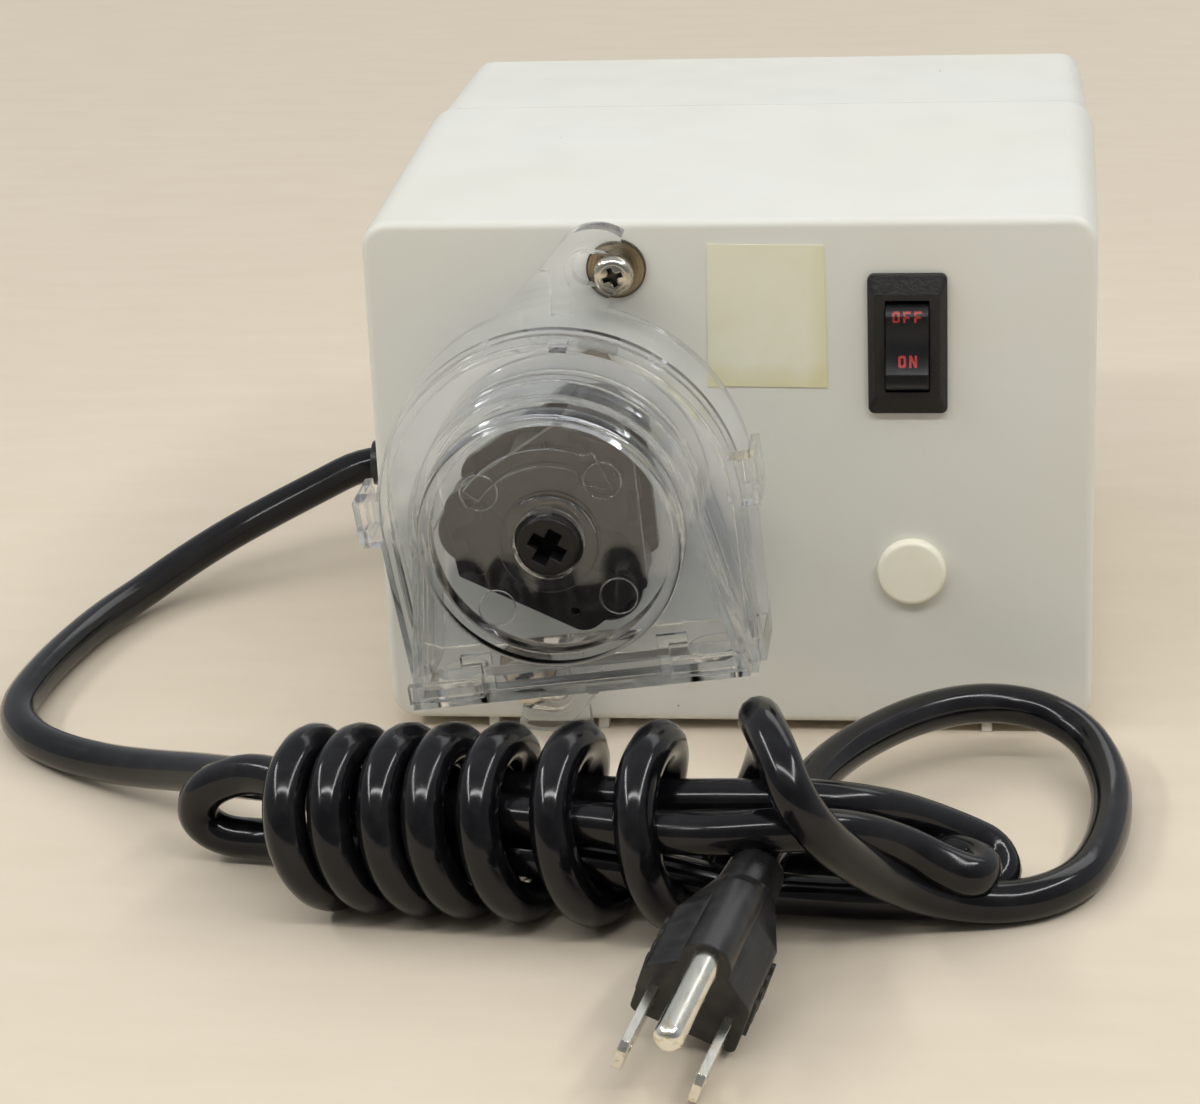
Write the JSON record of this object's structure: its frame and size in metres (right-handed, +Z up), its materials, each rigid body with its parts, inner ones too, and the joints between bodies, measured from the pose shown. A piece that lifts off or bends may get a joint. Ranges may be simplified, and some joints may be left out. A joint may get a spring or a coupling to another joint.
{
  "type": "dosing pump",
  "caption": "Peristaltic dosing pump: ivory drafted case, clear twist-lock pump head with a roller rotor, rocker switch, wrapped mains cord with grounded plug.",
  "frame": {"origin": "on the table under the middle of the pump without its cord", "axes": "+X right as seen from the front, +Y from the front to the back, +Z up"},
  "size_m": [0.2207, 0.2826, 0.1037],
  "materials": {
    "ivory_case": "fine moulded texture",
    "ivory_cap": "smooth, slightly yellowed",
    "label_film": "clear film, yellowed",
    "black_switch": "fine texture",
    "black_rocker": "gloss",
    "clear_plastic": "clear moulded polycarbonate",
    "black_rotor": "smooth",
    "steel_bright": "nickel plated",
    "steel_plain": "zinc plated",
    "bronze": "sintered",
    "zinc_cast": "die cast",
    "lamination": "stacked sheets",
    "winding": "taped winding",
    "cord_black": "glossy jacket",
    "plug_black": "moulded",
    "blade_brass": "nickel plated brass",
    "acetal": "machined"
  },
  "bodies": {
    "pump_base": {"front_shell": "ivory_case", "rear_shell": "ivory_case", "case_screws": "steel_plain", "hole_plug": "ivory_cap", "front_label": "label_film", "switch_body": "black_switch", "switch_terminals": "blade_brass", "head_washers": "steel_bright", "head_sleeves": "steel_bright", "head_screws": "steel_bright", "mount_plate": "steel_plain", "gearbox_housing": "zinc_cast", "gearbox_cover": "zinc_cast", "gearbox_screws": "steel_plain", "shaft_bushing": "bronze", "motor_stator": "lamination", "motor_coil": "winding", "motor_bracket_front": "steel_plain", "motor_bracket_rear": "steel_plain", "motor_screws": "steel_plain", "strain_relief": "plug_black", "relief_nut": "black_switch", "cord_lead": "cord_black", "cord_loop": "cord_black", "cord_hank": "cord_black", "plug_body": "plug_black", "plug_blades": "blade_brass", "plug_ground_pin": "blade_brass"},
    "pump_head": {"head_housing": "clear_plastic"},
    "head_cover": {"head_cover": "clear_plastic"},
    "rotor": {"rotor_back": "black_rotor", "rotor_front": "black_rotor", "roller_axles": "steel_bright", "drive_shaft": "steel_bright", "output_gear": "acetal"},
    "roller_1": {"roller_1": "black_rotor"},
    "roller_2": {"roller_2": "black_rotor"},
    "roller_3": {"roller_3": "black_rotor"},
    "rocker": {"switch_rocker": "black_rocker"},
    "motor_rotor": {"motor_rotor": "steel_plain"}
  },
  "joints": [
    {"name": "head_twist", "type": "hinge", "parent": "pump_base", "child": "pump_head", "pos_m": [-0.0298, -0.053, 0.0526], "axis": [0, -1, 0], "range_deg": [-6.9, 3.8]},
    {"name": "cover_pull", "type": "slide", "parent": "pump_head", "child": "head_cover", "axis": [0, -1, 0], "range_m": [0, 0.024]},
    {"name": "rotor_spin", "type": "hinge", "parent": "pump_base", "child": "rotor", "pos_m": [-0.0298, -0.065, 0.0526], "axis": [0, -1, 0], "continuous": true},
    {"name": "roller_1_spin", "type": "hinge", "parent": "rotor", "child": "roller_1", "pos_m": [-0.02354, -0.066, 0.06667], "axis": [0, -1, 0], "continuous": true},
    {"name": "roller_2_spin", "type": "hinge", "parent": "rotor", "child": "roller_2", "pos_m": [-0.04512, -0.066, 0.05099], "axis": [0, -1, 0], "continuous": true},
    {"name": "roller_3_spin", "type": "hinge", "parent": "rotor", "child": "roller_3", "pos_m": [-0.02075, -0.066, 0.04014], "axis": [0, -1, 0], "continuous": true},
    {"name": "rocker_tilt", "type": "hinge", "parent": "pump_base", "child": "rocker", "pos_m": [0.0332, -0.0505, 0.0788], "axis": [1, 0, 0], "range_deg": [0, 22]},
    {"name": "motor_spin", "type": "hinge", "parent": "pump_base", "child": "motor_rotor", "pos_m": [-0.0298, 0, 0.0436], "axis": [0, -1, 0], "continuous": true}
  ],
  "couplings": [
    {"joint": "motor_spin", "follows": "rotor_spin", "ratio": 40}
  ]
}
